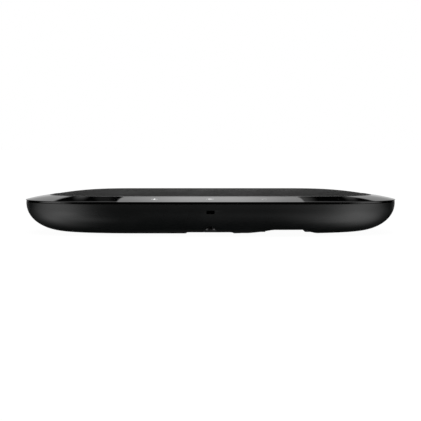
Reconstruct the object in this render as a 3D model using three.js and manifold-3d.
// Conference speakerphone: a flat bowl-shaped housing with a domed speaker grille, a touch-panel
// bezel, a full-range driver, and a USB lead that winds into a trough in the underside.
// Millimetres, +Z up, front towards -Y, origin on the table under the middle of the housing.
import * as THREE from "three";
import { mergeVertices } from "three/addons/utils/BufferGeometryUtils.js";
import Module from "manifold-3d";

const wasm = await Module();
wasm.setup();
const { Manifold, Mesh: ManifoldMesh } = wasm;

// ---------------------------------------------------------------- driving dimensions
const HALF_W = 163.5; // half of the overall width
const HALF_D = 97.5; // half of the overall depth
const PLAN_POWER = 2.7; // roundness of the plan outline's corners at the rim
const BASE_POWER = 2.1; // the same at the base
const END_RATIO = 1.23; // length of a plan end over its half depth

const CASE_BASE_Z = 0.8; // underside of the lower case; the feet reach down to z 0
const CASE_TOP_Z = 27.45;
const CASE_RUN_X = 38; // how far the case draws in from rim to base at the ends
const CASE_RUN_Y = 48; // the same at front and back
const CASE_POWER = 2.15; // roundness of the case's side profile
const WALL = 2.2;
const CASE_INSET = 0.4; // the case sits just inside the bezel all round

const GRILLE_HALF_W = 141.3;
const GRILLE_HALF_D = 71.0;
const GRILLE_Y = 7.0; // the grille sits behind the touch panel
const GRILLE_EDGE_Z = 33.0;
const OPENING_GAP = 1.8; // from the grille to the edge of the bezel's opening

const OPEN_HALF_W = 124.3; // opening in the case's underside
const OPEN_HALF_D = 47.5;
const TRAY_Z = 1.6; // underside of the base plate
const TROUGH_Z = 9.0; // roof of the cable trough
const CABLE_R = 2.0;
const CABLE_Z = 6.75;
const HUB_LEAD_Z = CABLE_Z - 0.4; // the lead's height where it leaves the hub
const PLUG_Y = -59.5;

const SOCKET_Z = 16.0; // height of the rear sockets
const DC_X = -23;
const AUDIO_X = 22;

// Places in plan: x, y
const BOSSES = [[90, 31], [-90, 31], [-90, -31], [90, -31]];
const BOARD_POSTS = [[82, -20], [82, 20], [138, -20], [138, 20]];
const MICS = [
  ["front_right", 108, -77],
  ["front_left", -108, -77],
  ["rear_left", -108, 78.5],
  ["rear_right", 108, 78.5],
];

// ---------------------------------------------------------------- outlines and rings
// Plan outline: straight front and back, superelliptic ends. Counter-clockwise from +X.
function outline(halfW, halfD, { y = 0, power = PLAN_POWER, steps = 14 } = {}) {
  const end = Math.min(halfW, END_RATIO * halfD);
  const quarter = [];
  for (let i = 0; i <= steps; i++) {
    const angle = ((i / steps) * Math.PI) / 2;
    quarter.push([
      halfW - end + end * Math.pow(Math.cos(angle), 2 / power),
      halfD * Math.pow(Math.sin(angle), 2 / power),
    ]);
  }
  const back = [...quarter].reverse();
  const place = (points, signX, signY) => points.map(([u, v]) => [signX * u, y + signY * v]);
  return [
    ...place(quarter, 1, 1),
    ...place(back, -1, 1),
    ...place(quarter.slice(1), -1, -1),
    ...place(back.slice(0, -1), 1, -1),
  ];
}
const at = (points, z) => points.map(([x, y]) => [x, y, z]);
const rimRing = (inset, z) => at(outline(HALF_W - inset, HALF_D - inset), z);
const grilleRing = (inset, z) =>
  at(outline(GRILLE_HALF_W - inset, GRILLE_HALF_D - inset, { y: GRILLE_Y }), z);
const openingRing = (inset, z) => grilleRing(inset - OPENING_GAP, z);

// ---------------------------------------------------------------- solids
// three.js geometry -> manifold solid, facing out
function solid(geometry) {
  const source = geometry.index ? geometry.toNonIndexed() : geometry;
  const bare = new THREE.BufferGeometry();
  bare.setAttribute("position", source.getAttribute("position").clone());
  const merged = mergeVertices(bare, 1e-4);
  const index = merged.index.array;
  const kept = []; // triangles that did not collapse in the merge
  for (let i = 0; i < index.length; i += 3) {
    const [a, b, c] = index.slice(i, i + 3);
    if (a !== b && b !== c && a !== c) kept.push(a, b, c);
  }
  const build = () =>
    new Manifold(
      new ManifoldMesh({
        numProp: 3,
        vertProperties: new Float32Array(merged.attributes.position.array),
        triVerts: new Uint32Array(kept),
      }),
    );
  const made = build();
  if (made.volume() >= 0) return made;
  for (let i = 0; i < kept.length; i += 3) {
    [kept[i + 1], kept[i + 2]] = [kept[i + 2], kept[i + 1]];
  }
  return build();
}

// manifold solid -> three.js geometry
function toGeometry(body) {
  const mesh = body.getMesh();
  const geometry = new THREE.BufferGeometry();
  const positions = new Float32Array(mesh.vertProperties);
  geometry.setAttribute("position", new THREE.BufferAttribute(positions, 3));
  geometry.setIndex(new THREE.BufferAttribute(new Uint32Array(mesh.triVerts), 1));
  geometry.computeVertexNormals();
  return geometry;
}

// Skins rings into one solid. capped: the first and last ring are filled;
// otherwise the last ring joins the first.
function skin(rings, capped) {
  const n = rings[0].length;
  const index = [];
  const bands = capped ? rings.length - 1 : rings.length;
  for (let r = 0; r < bands; r++) {
    const low = r * n;
    const high = ((r + 1) % rings.length) * n;
    for (let k = 0; k < n; k++) {
      const next = (k + 1) % n;
      index.push(low + k, low + next, high + next, low + k, high + next, high + k);
    }
  }
  // strips from each point across to its mirror image in y
  const fill = (start, flip) => {
    const triangle = (a, b, c) => {
      if (a === b || b === c || a === c) return;
      index.push(...(flip ? [a, c, b] : [a, b, c]));
    };
    for (let k = 0; k < n / 2; k++) {
      const across = start + n - k - 1;
      triangle(start + k, start + k + 1, across);
      triangle(start + k, across, start + ((n - k) % n));
    }
  };
  if (capped) {
    fill(0, true);
    fill((rings.length - 1) * n, false);
  }
  const geometry = new THREE.BufferGeometry();
  geometry.setAttribute("position", new THREE.Float32BufferAttribute(rings.flat(2), 3));
  geometry.setIndex(index);
  return solid(geometry);
}
const cappedLoft = (rings) => skin(rings, true);
const closedLoft = (rings) => skin(rings, false);

const joined = (parts) => parts.reduce((body, part) => body.add(part));
const cut = (body, tools) => tools.reduce((left, tool) => left.subtract(tool), body);

// Extents are [low, high] along an axis.
const about = (centre, half) => [centre - half, centre + half];
const middle = ([low, high]) => (low + high) / 2;

const box = (xs, ys, zs) => {
  const geometry = new THREE.BoxGeometry(xs[1] - xs[0], ys[1] - ys[0], zs[1] - zs[0]);
  return solid(geometry.translate(middle(xs), middle(ys), middle(zs)));
};
const cylinder = (r, [low, high], sides) => new THREE.CylinderGeometry(r, r, high - low, sides);
const rodX = (r, y, z, xs, sides = 16) =>
  solid(cylinder(r, xs, sides).rotateZ(Math.PI / 2).translate(middle(xs), y, z));
const rodY = (r, x, z, ys, sides = 16) =>
  solid(cylinder(r, ys, sides).translate(x, middle(ys), z));
const rodZ = (r, x, y, zs, sides = 16) =>
  solid(cylinder(r, zs, sides).rotateX(Math.PI / 2).translate(x, y, middle(zs)));
const rodsZ = (places, r, zs, sides) => places.map(([x, y]) => rodZ(r, x, y, zs, sides));

// Body of revolution about Z. Profile points are radius, z; a profile that starts off the
// axis is closed back to its first point.
const turned = (profile) => {
  const points = profile[0][0] > 0 ? [...profile, profile[0]] : profile;
  const lathe = new THREE.LatheGeometry(points.map((p) => new THREE.Vector2(...p)), 24);
  return solid(lathe.rotateX(Math.PI / 2));
};
const washer = (rIn, rOut, [low, high]) =>
  turned([[rIn, low], [rOut, low], [rOut, high], [rIn, high]]);

const shapeOf = (points) => new THREE.Shape(points.map((p) => new THREE.Vector2(...p)));
const extruded = (points, [low, high]) =>
  new THREE.ExtrudeGeometry(shapeOf(points), { depth: high - low, bevelEnabled: false });
// prisms along X, Y and Z, from polygons in y-z, x-z and x-y
const prismX = (points, xs) =>
  solid(extruded(points, xs).rotateX(Math.PI / 2).rotateZ(Math.PI / 2).translate(xs[0], 0, 0));
const prismY = (points, ys) =>
  solid(extruded(points, ys).rotateX(Math.PI / 2).translate(0, ys[1], 0));
const prismZ = (points, zs) => solid(extruded(points, zs).translate(0, 0, zs[0]));

const curveThrough = (points) =>
  new THREE.CatmullRomCurve3(
    points.map((p) => new THREE.Vector3(...p)),
    false,
    "centripetal",
  );
// six-sided wire along a list of points
const wire = (points, r, steps) => {
  const section = [];
  for (let i = 0; i < 6; i++) {
    const angle = (i / 6) * Math.PI * 2;
    section.push([r * Math.cos(angle), r * Math.sin(angle)]);
  }
  return solid(
    new THREE.ExtrudeGeometry(shapeOf(section), {
      steps,
      extrudePath: curveThrough(points),
      bevelEnabled: false,
    }),
  );
};

// ---------------------------------------------------------------- finishes
// colour, roughness, metalness
const FINISHES = {
  satin: ["#141515", 0.42, 0],
  gloss: ["#050505", 0.07, 0],
  trim: ["#0a0a0b", 0.18, 0],
  mesh: ["#3a3a39", 0.5, 0.6],
  scrim: ["#101010", 0.95, 0],
  light: ["#8d8f90", 0.35, 0],
  inner: ["#1b1c1d", 0.6, 0],
  rubber: ["#161616", 0.85, 0],
  steel: ["#9a9c9e", 0.35, 1],
  board: ["#143a24", 0.5, 0],
  chip: ["#0d0d0e", 0.45, 0],
  magnet: ["#2b2b2d", 0.7, 0],
  copper: ["#a85a2c", 0.35, 1],
  paper: ["#191919", 0.8, 0],
  cloth: ["#b88a3c", 0.9, 0],
  red: ["#a01814", 0.5, 0],
  black: ["#0e0e0e", 0.5, 0],
  white: ["#dcdcd8", 0.5, 0],
  ribbon: ["#d8d6cc", 0.55, 0],
};
const root = new THREE.Group();
function add(name, body, finish, group = root) {
  const [color, roughness, metalness] = FINISHES[finish];
  const material = new THREE.MeshStandardMaterial({ color, roughness, metalness });
  const mesh = new THREE.Mesh(toGeometry(body), material);
  mesh.name = name;
  group.add(mesh);
}

// ---------------------------------------------------------------- lower case
const NOTCH_R = 5.6; // round-topped notch in front of the plug dock
const NOTCH_Z = 2.7; // height of its centre
const LOCK_Z = 20.7; // middle of the lock slot
const LOCK_W = 7.0;
const LOCK_H = 3.0;

// Rings of the case, as steps from 1 at the base to 0 at the rim
const OUTER_STEPS = [1, 0.9, 0.8, 0.7, 0.6, 0.5, 0.4, 0.3, 0.21, 0.13, 0.06, 0];
const INNER_STEPS = [1, 0.8, 0.6, 0.4, 0.2, 0];

// Underside scallops along the front: a recess under the plug, then a flared one along the
// lead's way out. x, z
const SCALLOP = [
  [-20.9, -2], [-20.9, 0.8], [-18.6, 2.6], [17.0, 2.6], [20.0, 1.1],
  [24, 1.2], [29.6, 1.45], [33.9, 1.8], [38.2, 2.4], [42.5, 3.05],
  [46.8, 3.85], [51.1, 4.7], [54.2, 5.1], [78.0, 5.1], [81.2, 4.3],
  [85.5, 2.75], [89.8, 1.5], [94, 0.75], [94, -2],
];

// The lead's way from the dock to the trough: x, y, z
const LEAD_OUT = [
  [18, PLUG_Y, CABLE_Z],
  [30, PLUG_Y - 0.2, CABLE_Z],
  [42, PLUG_Y + 2.2, CABLE_Z],
  [53, PLUG_Y + 8.5, CABLE_Z],
  [60, PLUG_Y + 16, CABLE_Z],
  [64.5, PLUG_Y + 24, CABLE_Z],
];

function caseRing(step, inset, baseZ) {
  const angle = (step * Math.PI) / 2;
  const drawn = 1 - Math.pow(Math.cos(angle), 2 / CASE_POWER);
  const drop = Math.pow(Math.sin(angle), 2 / CASE_POWER);
  return at(
    outline(HALF_W - inset - CASE_RUN_X * drawn, HALF_D - inset - CASE_RUN_Y * drawn, {
      power: PLAN_POWER + (BASE_POWER - PLAN_POWER) * drawn,
    }),
    CASE_TOP_Z - (CASE_TOP_Z - baseZ) * drop,
  );
}

// arc of the notch, left to right, above lowZ
function archPoints(r, lowZ) {
  const points = [];
  const start = Math.asin((lowZ - NOTCH_Z) / r);
  for (let i = 0; i <= 16; i++) {
    const angle = Math.PI - start - (i / 16) * (Math.PI - 2 * start);
    points.push([r * Math.cos(angle), NOTCH_Z + r * Math.sin(angle)]);
  }
  return points;
}

// plan of a slot that follows a curve
function slotAlong(points, half) {
  const curve = curveThrough(points);
  const left = [];
  const right = [];
  for (let i = 0; i <= 18; i++) {
    const point = curve.getPoint(i / 18);
    const tangent = curve.getTangent(i / 18);
    left.push([point.x - tangent.y * half, point.y + tangent.x * half]);
    right.unshift([point.x + tangent.y * half, point.y - tangent.x * half]);
  }
  return [...left, ...right];
}

const lockSlot = (ys) => box(about(0, LOCK_W / 2), ys, about(LOCK_Z, LOCK_H / 2));
const latchEars = (gap) =>
  box([-6.6 - gap, 6.6 + gap], [-73.1 - gap, -70.9 + gap], [4.9 - gap, 7.2 + gap]);
const basePlan = (halfW, halfD) => outline(halfW, halfD, { power: BASE_POWER });

function caseShell() {
  const hull = cappedLoft(OUTER_STEPS.map((step) => caseRing(step, CASE_INSET, CASE_BASE_Z)));
  const inset = CASE_INSET + WALL;
  const cavity = cappedLoft([
    ...INNER_STEPS.map((step) => caseRing(step, inset, CASE_BASE_Z + WALL)),
    rimRing(inset, CASE_TOP_Z + 3),
  ]);
  const blocks = joined([
    box([-24, 22], [-90, -OPEN_HALF_D], [0, 12.4]), // round the plug dock
    box([22, 84], [-66, -OPEN_HALF_D], [0, 11.2]), // round the lead's way out
    box([21, 98], [-90, -OPEN_HALF_D], [0, 7.4]), // over the flared scallop
    box([-36, 36], [80.8, 96], [4, 23.6]), // round the rear sockets
    box([-7.5, 7.5], [-97, -91.9], [16.4, 24.6]), // behind the lock slot
  ]).intersect(hull);
  // lip that the base plate bears against, left out in front of the opening
  const lipZone = hull.subtract(box([-200, 200], [-200, -OPEN_HALF_D + 0.001], [0, 2.95]));
  const lip = prismZ(basePlan(127.5, 50.6), [2.9, 4.6]).intersect(lipZone);
  return hull.subtract(cavity).add(blocks).add(lip);
}

function lowerCase() {
  const notch = [[-NOTCH_R, 0], ...archPoints(NOTCH_R, NOTCH_Z), [NOTCH_R, 0]];
  return cut(caseShell(), [
    // opening, wider below the lip
    prismZ(basePlan(OPEN_HALF_W, OPEN_HALF_D), [-1, 3.0]),
    prismZ(basePlan(121.5, 44.9), [2, 30]),
    prismY(SCALLOP, [-110, -41]),
    // plug dock, the notch in front of it, and grooves for the latch's ears
    box([-22.2, 18.6], about(PLUG_Y, 8.3), [-2, 10.6]),
    prismY(notch, [-100, PLUG_Y - 6]),
    latchEars(0.3),
    // channel from the dock to the trough, open downwards, and its mouth
    prismZ(slotAlong(LEAD_OUT, 2.9), [-2, 9.4]),
    box([45.2, 84.3], [-OPEN_HALF_D - 0.01, -38], [-2, 12]),
    // rear socket recess with a flat face, and the socket openings
    box(about(0, 34), [83.5, 110], about(SOCKET_Z, 5.6)),
    rodY(3.5, DC_X, SOCKET_Z, [78, 90]),
    box(about(0, 6.9), [78, 90], about(SOCKET_Z, 3.1)),
    rodY(2.7, AUDIO_X, SOCKET_Z, [78, 90]),
    // lock slot, and the seat for its steel plate
    lockSlot([-110, -88]),
    box(about(0, 7.0), [-93.6, -90], [LOCK_Z - 2.9, 25]),
  ]);
}
add("lower_case", lowerCase(), "satin");

const lockPlate = box(about(0, 6.7), [-93.3, -92.1], [LOCK_Z - 2.6, 23.6]);
add("lock_plate", lockPlate.subtract(lockSlot([-95, -90])), "steel");

// dock latch: bowed front with a round-topped recess, held by an ear on each side
function dockLatch() {
  const bowR = 7.4;
  const bowY = -70.1;
  const bow = rodZ(bowR, 0, bowY, [0, 12], 48).add(box(about(0, bowR), [bowY, -69], [0, 12]));
  const recessR = 1.9;
  const recessY = [-80, -72.6];
  const recessTop = rodY(recessR, 0, 6.5, recessY).intersect(box([-2, 2], [-80, -70], [6.5, 12]));
  return prismY(archPoints(NOTCH_R - 0.35, 4.9), [-77.6, -69.4])
    .intersect(bow)
    .add(latchEars(0))
    .subtract(box(about(0, recessR), recessY, [5.3, 6.8]).add(recessTop));
}
add("dock_latch", dockLatch(), "black");

// ---------------------------------------------------------------- rim, bezel, light guide
const TRIM_LOW_Z = 27.7;
const TRIM_HIGH_Z = 28.55;
const BEZEL_LOW_Z = 28.85;
const BEZEL_EDGE_Z = 29.25;
const SHOULDER_Z = BEZEL_EDGE_Z + 0.2; // inner edge of the rim's small chamfer
const SHOULDER_INSET = 0.4;
const BEZEL_CROWN = 1.3; // bulge of the bezel's top
const MIC_HOLE_R = 0.6;

add(
  "trim_ring",
  closedLoft([
    rimRing(0.5, TRIM_LOW_Z),
    rimRing(0.5, TRIM_HIGH_Z),
    rimRing(2.3, TRIM_HIGH_Z),
    rimRing(2.3, TRIM_LOW_Z),
  ]),
  "trim",
);

// ring on the bezel's top, from the shoulder (part 0) to the grille opening (part 1)
function bezelTopRing(part) {
  const { lerp } = THREE.MathUtils;
  const halfW = lerp(HALF_W - SHOULDER_INSET, GRILLE_HALF_W + OPENING_GAP, part);
  const halfD = lerp(HALF_D - SHOULDER_INSET, GRILLE_HALF_D + OPENING_GAP, part);
  const z = lerp(SHOULDER_Z, GRILLE_EDGE_Z, part) + BEZEL_CROWN * part * (1 - part);
  return at(outline(halfW, halfD, { y: GRILLE_Y * part }), z);
}
const bezel = closedLoft([
  rimRing(0, BEZEL_LOW_Z),
  rimRing(0, BEZEL_EDGE_Z - 0.05),
  rimRing(SHOULDER_INSET, SHOULDER_Z),
  bezelTopRing(0.33),
  bezelTopRing(0.66),
  openingRing(0, GRILLE_EDGE_Z),
  openingRing(0, 31.2),
  openingRing(4.4, 31.2), // ledge under the grille and light ring
  openingRing(4.4, 29.5),
  rimRing(5.3, 27.2), // skirt inside the case
  rimRing(5.3, 25.4),
  rimRing(3.7, 25.4),
  rimRing(3.7, BEZEL_LOW_Z),
]);
// a sound hole over each microphone
const soundHoles = MICS.map(([, x, y]) => rodZ(MIC_HOLE_R, x, y, [20, 40], 10));
add("top_bezel", cut(bezel, soundHoles), "gloss");

add(
  "light_ring",
  closedLoft([
    openingRing(0.25, 31.3),
    openingRing(0.25, 33.1),
    openingRing(1.45, 33.25),
    openingRing(1.45, 31.3),
  ]),
  "light",
);

// ---------------------------------------------------------------- grille and scrim
const CREST_Z = 37.9;
const DOME_RUN = 60; // distance in from the edge over which the dome rises
const DOME_POWER = 2.2;
const SHEET = 0.8;
const SKIRT_Z = 31.4; // bottom of the grille's turned-down edge
const SKIRT = 0.9; // thickness of that edge

// ring on the dome, drop below its top surface
function domeRing(inset, drop) {
  const rise = inset >= DOME_RUN ? 1 : 1 - Math.pow(1 - inset / DOME_RUN, DOME_POWER);
  return grilleRing(inset, GRILLE_EDGE_Z + (CREST_Z - GRILLE_EDGE_Z) * rise - drop);
}
add(
  "speaker_grille",
  cappedLoft([
    ...[59, 36, 20, 8].map((inset) => domeRing(inset, SHEET)),
    grilleRing(SKIRT, GRILLE_EDGE_Z - 0.75),
    grilleRing(SKIRT, SKIRT_Z),
    grilleRing(0, SKIRT_Z),
    grilleRing(0, GRILLE_EDGE_Z - 0.3),
    ...[0.4, 10, 22, 36, DOME_RUN].map((inset) => domeRing(inset, 0)),
  ]),
  "mesh",
);
add(
  "grille_scrim",
  cappedLoft([
    ...[56, 30, 12, 2.6].map((inset) => domeRing(inset, SHEET + 0.85)),
    ...[2.6, 12, 30, 56].map((inset) => domeRing(inset, SHEET + 0.35)),
  ]),
  "scrim",
);

// ---------------------------------------------------------------- inner deck
const DECK_Z = 26.4; // underside
const BOARD_SEAT_Z = 14.9; // shoulders of the board posts, and underside of the board's parts
const DRIVER_BORE = 40.5;
const SCREW_CIRCLE_R = 44.2;
const DRIVER_SCREWS = [0, 1, 2, 3].map((k) => {
  const angle = Math.PI / 4 + (k * Math.PI) / 2;
  return [SCREW_CIRCLE_R * Math.cos(angle), SCREW_CIRCLE_R * Math.sin(angle)];
});
const driverScrewHoles = rodsZ(DRIVER_SCREWS, 1.5, [20, 40], 8);

// plate with the driver opening, four bosses and the pegs that hold the main board
function innerDeck() {
  const plan = outline(146, 75, { y: 4, steps: 8 });
  const plate = cappedLoft([at(plan, DECK_Z), at(plan, 28.3)]);
  const body = joined([
    plate.subtract(rodZ(DRIVER_BORE + 1.4, 0, 0, [20, 40], 32)),
    ...rodsZ(BOSSES, 3.8, [3.1, DECK_Z], 12),
    ...rodsZ(BOARD_POSTS, 2.4, [BOARD_SEAT_Z, DECK_Z], 10),
    ...rodsZ(BOARD_POSTS, 1.15, [12.0, 15], 8),
  ]);
  return cut(body, [...rodsZ(BOSSES, 1.5, [0, 16], 8), ...driverScrewHoles]);
}
add("inner_deck", innerDeck(), "inner");

// ---------------------------------------------------------------- base plate, feet, screws
const FLANGE_HALF_W = OPEN_HALF_W - 0.3;
const FLANGE_HALF_D = OPEN_HALF_D - 0.3;
const TROUGH_HALF_W = 84;
const TROUGH_HALF_D = 42.5;
const TROUGH_TOP_Z = 10.8; // upper face of the trough's roof

// hub, cable trough round it, and outer flange
function basePlate() {
  const plan = (halfW, halfD) => outline(halfW, halfD, { power: BASE_POWER, steps: 9 });
  const ring = (halfW, halfD, z) => at(plan(halfW, halfD), z);
  const tray = cappedLoft([
    ring(50, 26, TRAY_Z),
    ring(50, 26, TROUGH_Z),
    ring(TROUGH_HALF_W, TROUGH_HALF_D, TROUGH_Z),
    ring(TROUGH_HALF_W, TROUGH_HALF_D, TRAY_Z),
    ring(FLANGE_HALF_W, FLANGE_HALF_D, TRAY_Z),
    ring(FLANGE_HALF_W, FLANGE_HALF_D, 2.8),
    ring(86, 44.4, 2.8),
    ring(86, 44.4, TROUGH_TOP_Z),
    ring(48, 24, TROUGH_TOP_Z),
    ring(48, 24, 3.4),
  ]);
  // block at the trough's front right, where the lead comes in
  const block = box([45.5, 84], [-FLANGE_HALF_D, -30], [TRAY_Z, TROUGH_TOP_Z]);
  const trough = prismZ(plan(TROUGH_HALF_W, TROUGH_HALF_D), [0, TROUGH_Z]);
  return cut(tray.add(block.subtract(trough)), [
    box([47.5, 82], [-60, -29], [0, TROUGH_Z]),
    box([66, 82], [-29.5, -12], [0, TROUGH_Z]),
    rodX(3.45, 0, HUB_LEAD_Z, [-56, -40]), // seat for the grommet
    prismY(SCALLOP, [-60, -43.5]),
    ...rodsZ(BOSSES, 1.7, [0, 4], 8),
  ]);
}
add("base_plate", basePlate(), "inner");

const grommet = rodX(3.3, 0, HUB_LEAD_Z, [-50.5, -47.0], 12);
add("cable_grommet", grommet.subtract(rodX(2.35, 0, HUB_LEAD_Z, [-60, -40], 12)), "rubber");

// plan of a bar with round ends: half its straight length, end radius, direction of its length
function stadium(x, y, half, r, angle) {
  const points = [];
  const cos = Math.cos(angle);
  const sin = Math.sin(angle);
  for (const side of [1, -1]) {
    for (let i = 0; i <= 6; i++) {
      const turn = (-side * Math.PI) / 2 + (i / 6) * Math.PI;
      const u = side * half + r * Math.cos(turn);
      const v = r * Math.sin(turn);
      points.push([x + u * cos - v * sin, y + u * sin + v * cos]);
    }
  }
  return points;
}
// name, x, y, direction in degrees from +X
const FEET = [
  ["foot_front_right", 106, -21, 38],
  ["foot_rear_right", 106, 21, 142],
  ["foot_rear_left", -106, 21, 218],
  ["foot_front_left", -106, -21, -38],
];
for (const [name, x, y, degrees] of FEET) {
  const plan = stadium(x, y, 8.5, 5, THREE.MathUtils.degToRad(degrees));
  add(name, prismZ(plan, [0, TRAY_Z - 0.02]), "rubber");
}
BOSSES.forEach(([x, y], i) => {
  const screw = rodZ(2.7, x, y, [0.85, 1.55], 12).add(rodZ(1.2, x, y, [1.5, 12], 8));
  add(`base_screw_${i + 1}`, screw, "steel");
});

// ---------------------------------------------------------------- captive lead and plug
// A little over two and a half turns round the hub, clockwise from above, each a little
// wider than the last.
function hubTurns() {
  const points = [];
  const start = Math.PI - 0.26;
  const sweep = start + 0.75 + 4 * Math.PI;
  const steps = 52;
  for (let i = 0; i <= steps; i++) {
    const part = i / steps;
    const cos = Math.cos(start - sweep * part);
    const sin = Math.sin(start - sweep * part);
    const halfW = 55.4 + 24.8 * part;
    const halfD = 28.9 + 10.6 * part;
    const end = END_RATIO * halfD;
    points.push([
      Math.sign(cos) * (halfW - end + end * Math.pow(Math.abs(cos), 2 / BASE_POWER)),
      halfD * Math.sign(sin) * Math.pow(Math.abs(sin), 2 / BASE_POWER),
      CABLE_Z,
    ]);
  }
  return points;
}
const leadPoints = [
  [-43.6, 0, HUB_LEAD_Z],
  [-51.2, 0, HUB_LEAD_Z],
  [-54.3, 2.2, CABLE_Z - 0.2],
  ...hubTurns(),
  ...LEAD_OUT.slice(1).reverse(),
  [17.6, PLUG_Y, CABLE_Z],
];
add("usb_lead", wire(leadPoints, CABLE_R, 124), "rubber");
add("lead_connector", box([-42.9, -34.5], about(0, 4.2), [3.8, 9.2]), "white");

const PLUG_Z = 6.3;
const plugBody = joined([
  box([-6.2, 10.6], about(PLUG_Y, 7.2), about(PLUG_Z, 3.9)),
  rodX(3.3, PLUG_Y, PLUG_Z + 0.6, [10.5, 13.6], 12),
  rodX(2.6, PLUG_Y, CABLE_Z, [13.5, 17.0], 12),
]);
add("plug_body", plugBody, "rubber");

// open-ended sleeve with two square windows in its underside
const shellWindow = (ys) => box([-15.6, -13.2], ys, [PLUG_Z - 3, PLUG_Z - 1]);
const plugShell = cut(box([-20.4, -6.5], about(PLUG_Y, 6), about(PLUG_Z, 2.25)), [
  box([-22, -7.0], about(PLUG_Y, 5.65), about(PLUG_Z, 1.9)),
  shellWindow([PLUG_Y - 3.9, PLUG_Y - 1.5]),
  shellWindow([PLUG_Y + 1.5, PLUG_Y + 3.9]),
]);
add("plug_shell", plugShell, "steel");
const plugTongue = box([-19.6, -7.3], about(PLUG_Y, 5.3), [PLUG_Z, PLUG_Z + 1.6]);
add("plug_tongue", plugTongue, "white");

// ---------------------------------------------------------------- full-range driver
const FLANGE_Z = 29.4; // underside of the basket's flange
const FLANGE_R = 49;
const MAGNET_R = 22;

// Turned profiles: radius, z
const BASKET = [
  [14.5, 14.2], [22.5, 14.2], [26.5, 17.0], [39.4, 27.0], [39.9, FLANGE_Z],
  [FLANGE_R, FLANGE_Z], [FLANGE_R, FLANGE_Z + 1.4], [38.7, FLANGE_Z + 1.4],
  [38.2, 27.6], [25.3, 17.6], [22.6, 17.6], [22.0, 15.5], [14.5, 15.5],
];
const YOKE = [[0, 4.0], [MAGNET_R, 4.0], [MAGNET_R, 5.6], [9.0, 5.6], [9.0, 13.6], [0, 13.6]];
const CONE = [
  [10.6, 20.6], [18, 23.0], [26, 26.6], [32.8, 31.0],
  [32.8, 31.7], [25.8, 27.4], [17.8, 23.7], [10.6, 21.3],
];

const basketWindows = [0, 90, 180, 270].map((degrees) =>
  box([26, 46], [-8, 8], [18.4, 26.4]).rotate([0, 0, degrees]),
);
add("speaker_basket", cut(turned(BASKET), [...basketWindows, ...driverScrewHoles]), "inner");
const gasket = washer(42.2, FLANGE_R, [28.6, 29.1]);
add("speaker_gasket", cut(gasket, driverScrewHoles), "rubber");
DRIVER_SCREWS.forEach(([x, y], i) => {
  const screw = rodZ(2.5, x, y, [31.1, 32.2], 12).add(rodZ(1.15, x, y, [22, 31.2], 8));
  add(`speaker_screw_${i + 1}`, screw, "steel");
});
add("speaker_yoke", turned(YOKE), "steel");
add("speaker_magnet", washer(12.5, MAGNET_R, [5.9, 11.2]), "magnet");
add("speaker_top_plate", washer(11.0, MAGNET_R, [11.5, 13.9]), "steel");

// rolled rubber edge between the flange and the cone
function surround() {
  const rollZ = 31.5;
  const roll = (r) => {
    const points = [];
    for (let i = 0; i <= 5; i++) {
      const angle = Math.PI - (i / 5) * Math.PI;
      points.push([36.4 + r * Math.cos(angle), rollZ + r * Math.sin(angle)]);
    }
    return points;
  };
  return turned([...roll(2.75), [41.6, rollZ], [41.6, 31.1], ...roll(2.25).reverse()]);
}
add("speaker_surround", surround(), "rubber");

// corrugated centring disc above the basket's inner step
function spider() {
  const low = [];
  const top = [];
  for (let i = 0; i <= 7; i++) {
    const r = 10.7 + (i / 7) * 13.6;
    const ridge = i % 2 ? 0.5 : -0.2;
    const wave = i === 0 || i === 7 ? 0 : ridge;
    low.push([r, 17.95 + wave]);
    top.unshift([r, 18.35 + wave]);
  }
  return turned([...low, ...top]);
}
add("speaker_spider", spider(), "cloth");

const cone = new THREE.Group();
cone.name = "cone_assembly";
root.add(cone);
add("speaker_cone", turned(CONE), "paper", cone);
add("voice_coil", washer(9.45, 10.3, [8.8, 21.2]), "copper", cone);

function dustCap() {
  const dome = [];
  for (let i = 0; i < 6; i++) {
    const angle = (i / 6) * (Math.PI / 2);
    dome.push([11.4 * Math.cos(angle), 23.1 + 3.4 * Math.sin(angle)]);
  }
  return turned([[0, 25.9], [6, 25.2], [10.9, 22.6], ...dome, [0, 23.1 + 3.4]]);
}
add("dust_cap", dustCap(), "paper", cone);

// tub that closes the space behind the driver
function speakerChamber() {
  const wall = 1.8;
  const ring = (inset, z) => at(outline(72 - inset, 46.6 - inset, { power: 3, steps: 8 }), z);
  const tub = cappedLoft([ring(0, 11.2), ring(0, 26.1), ring(wall, 26.1), ring(wall, 12.8)]);
  return cut(tub, [
    rodZ(23, 0, 0, [0, 20], 24), // round the magnet
    rodX(1.6, 8, 18, [60, 80], 8), // for the speaker cable
  ]);
}
add("speaker_chamber", speakerChamber(), "inner");

// ---------------------------------------------------------------- main board
const mainBoard = box([76, 144], [-25, 25], [13.0, 14.6]);
add("main_board", cut(mainBoard, rodsZ(BOARD_POSTS, 1.5, [10, 20], 8)), "board");
add("dsp_chip", box([100, 114], [-7, 7], [BOARD_SEAT_Z, 16.3]), "chip");
add("radio_shield", box([118, 134], [-10, 6], [BOARD_SEAT_Z, 17.3]), "steel");
add("amplifier_chip", box([86, 95], [6, 14], [BOARD_SEAT_Z, 16.4]), "chip");
add("output_capacitor", rodZ(4, 104, 16, [BOARD_SEAT_Z, 22.9]), "black");

// ---------------------------------------------------------------- rear sockets
// body behind the case's rear wall, from the port board up to topZ
const socketBody = (x, half, topZ) => box(about(x, half), [66, 80.4], [11.4, topZ]);

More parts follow.
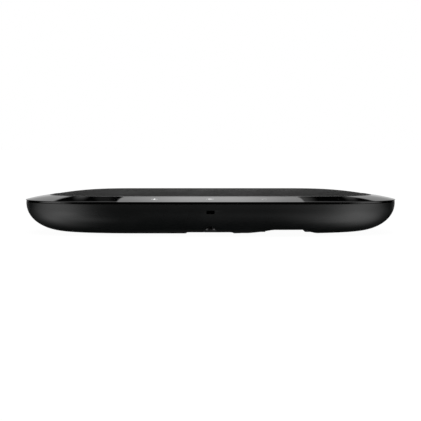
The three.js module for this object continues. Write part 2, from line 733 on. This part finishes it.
add("port_board", box([-32, 32], [58, 78], [9.7, 11.1]), "board");
add(
  "dc_jack",
  socketBody(DC_X, 4.6, 21.2)
    .add(rodY(3.2, DC_X, SOCKET_Z, [80.3, 83.2], 20)) // collar
    .subtract(rodY(2.75, DC_X, SOCKET_Z, [68.5, 90], 20))
    .add(rodY(1.0, DC_X, SOCKET_Z, [68.2, 81.5], 12)), // centre pin
  "black",
);
add(
  "usb_socket",
  socketBody(0, 7.4, 19.8)
    .add(box(about(0, 6.6), [80.3, 83.0], about(SOCKET_Z, 2.8)))
    .subtract(box(about(0, 6.2), [68, 90], about(SOCKET_Z, 2.4)))
    .add(box(about(0, 4.8), [67.5, 81.6], [SOCKET_Z + 0.3, SOCKET_Z + 1.7])), // tongue
  "steel",
);
add(
  "audio_jack",
  socketBody(AUDIO_X, 4, 20.4)
    .add(rodY(2.4, AUDIO_X, SOCKET_Z, [80.3, 83.0], 20))
    .subtract(rodY(1.8, AUDIO_X, SOCKET_Z, [68, 90])),
  "black",
);

// ---------------------------------------------------------------- touch board and wiring
const touchBoard = box([-82, 82], [-90, -74], [24.6, 25.8]);
const lockRelief = box([-9, 9], [-91, -88.6], [20, 30]); // notch behind the lock slot
add("touch_board", touchBoard.subtract(lockRelief), "board");

// flat ribbon from the touch board down to the main board; centre line as y, z
const RIBBON = [
  [-75.6, 24.0], [-70, 23.9], [-62, 22.6], [-50, 19.0], [-38, 16.3], [-30, 15.35], [-23.0, 15.2],
];
const ribbonFace = (offset) => RIBBON.map(([y, z]) => [y, z + offset]);
const ribbonSection = [...ribbonFace(0.2), ...ribbonFace(-0.2).reverse()];
add("touch_ribbon", prismX(ribbonSection, [75, 81]), "ribbon");

// cable routes: x, y, z
const PORT_CABLE = [
  [32.6, 70, 11.2], [48, 67, 12.6], [64, 60, 14], [76, 46, 15.6],
  [81, 31, 16.8], [86, 24, 17], [92, 19.5, 16.1],
];
const SPEAKER_CABLE = [
  [88, 10, 17.2], [82, 9.4, 18.4], [74, 8.6, 18.2], [62, 8, 18], [50, 9.5, 20], [42.4, 10.6, 22],
];
add("port_cable", wire(PORT_CABLE, 1.1, 20), "black");
add("speaker_cable", wire(SPEAKER_CABLE, 0.7, 20), "red");

// ---------------------------------------------------------------- microphones
for (const [name, x, y] of MICS) {
  add(`mic_board_${name}`, box(about(x, 5), about(y, 4.2), [23.2, 24.2]), "board");
  const boot = rodZ(4, x, y, [24.5, 27.0]).subtract(rodZ(0.7, x, y, [25.6, 40], 8));
  add(`mic_boot_${name}`, boot, "rubber");
}

export default root;
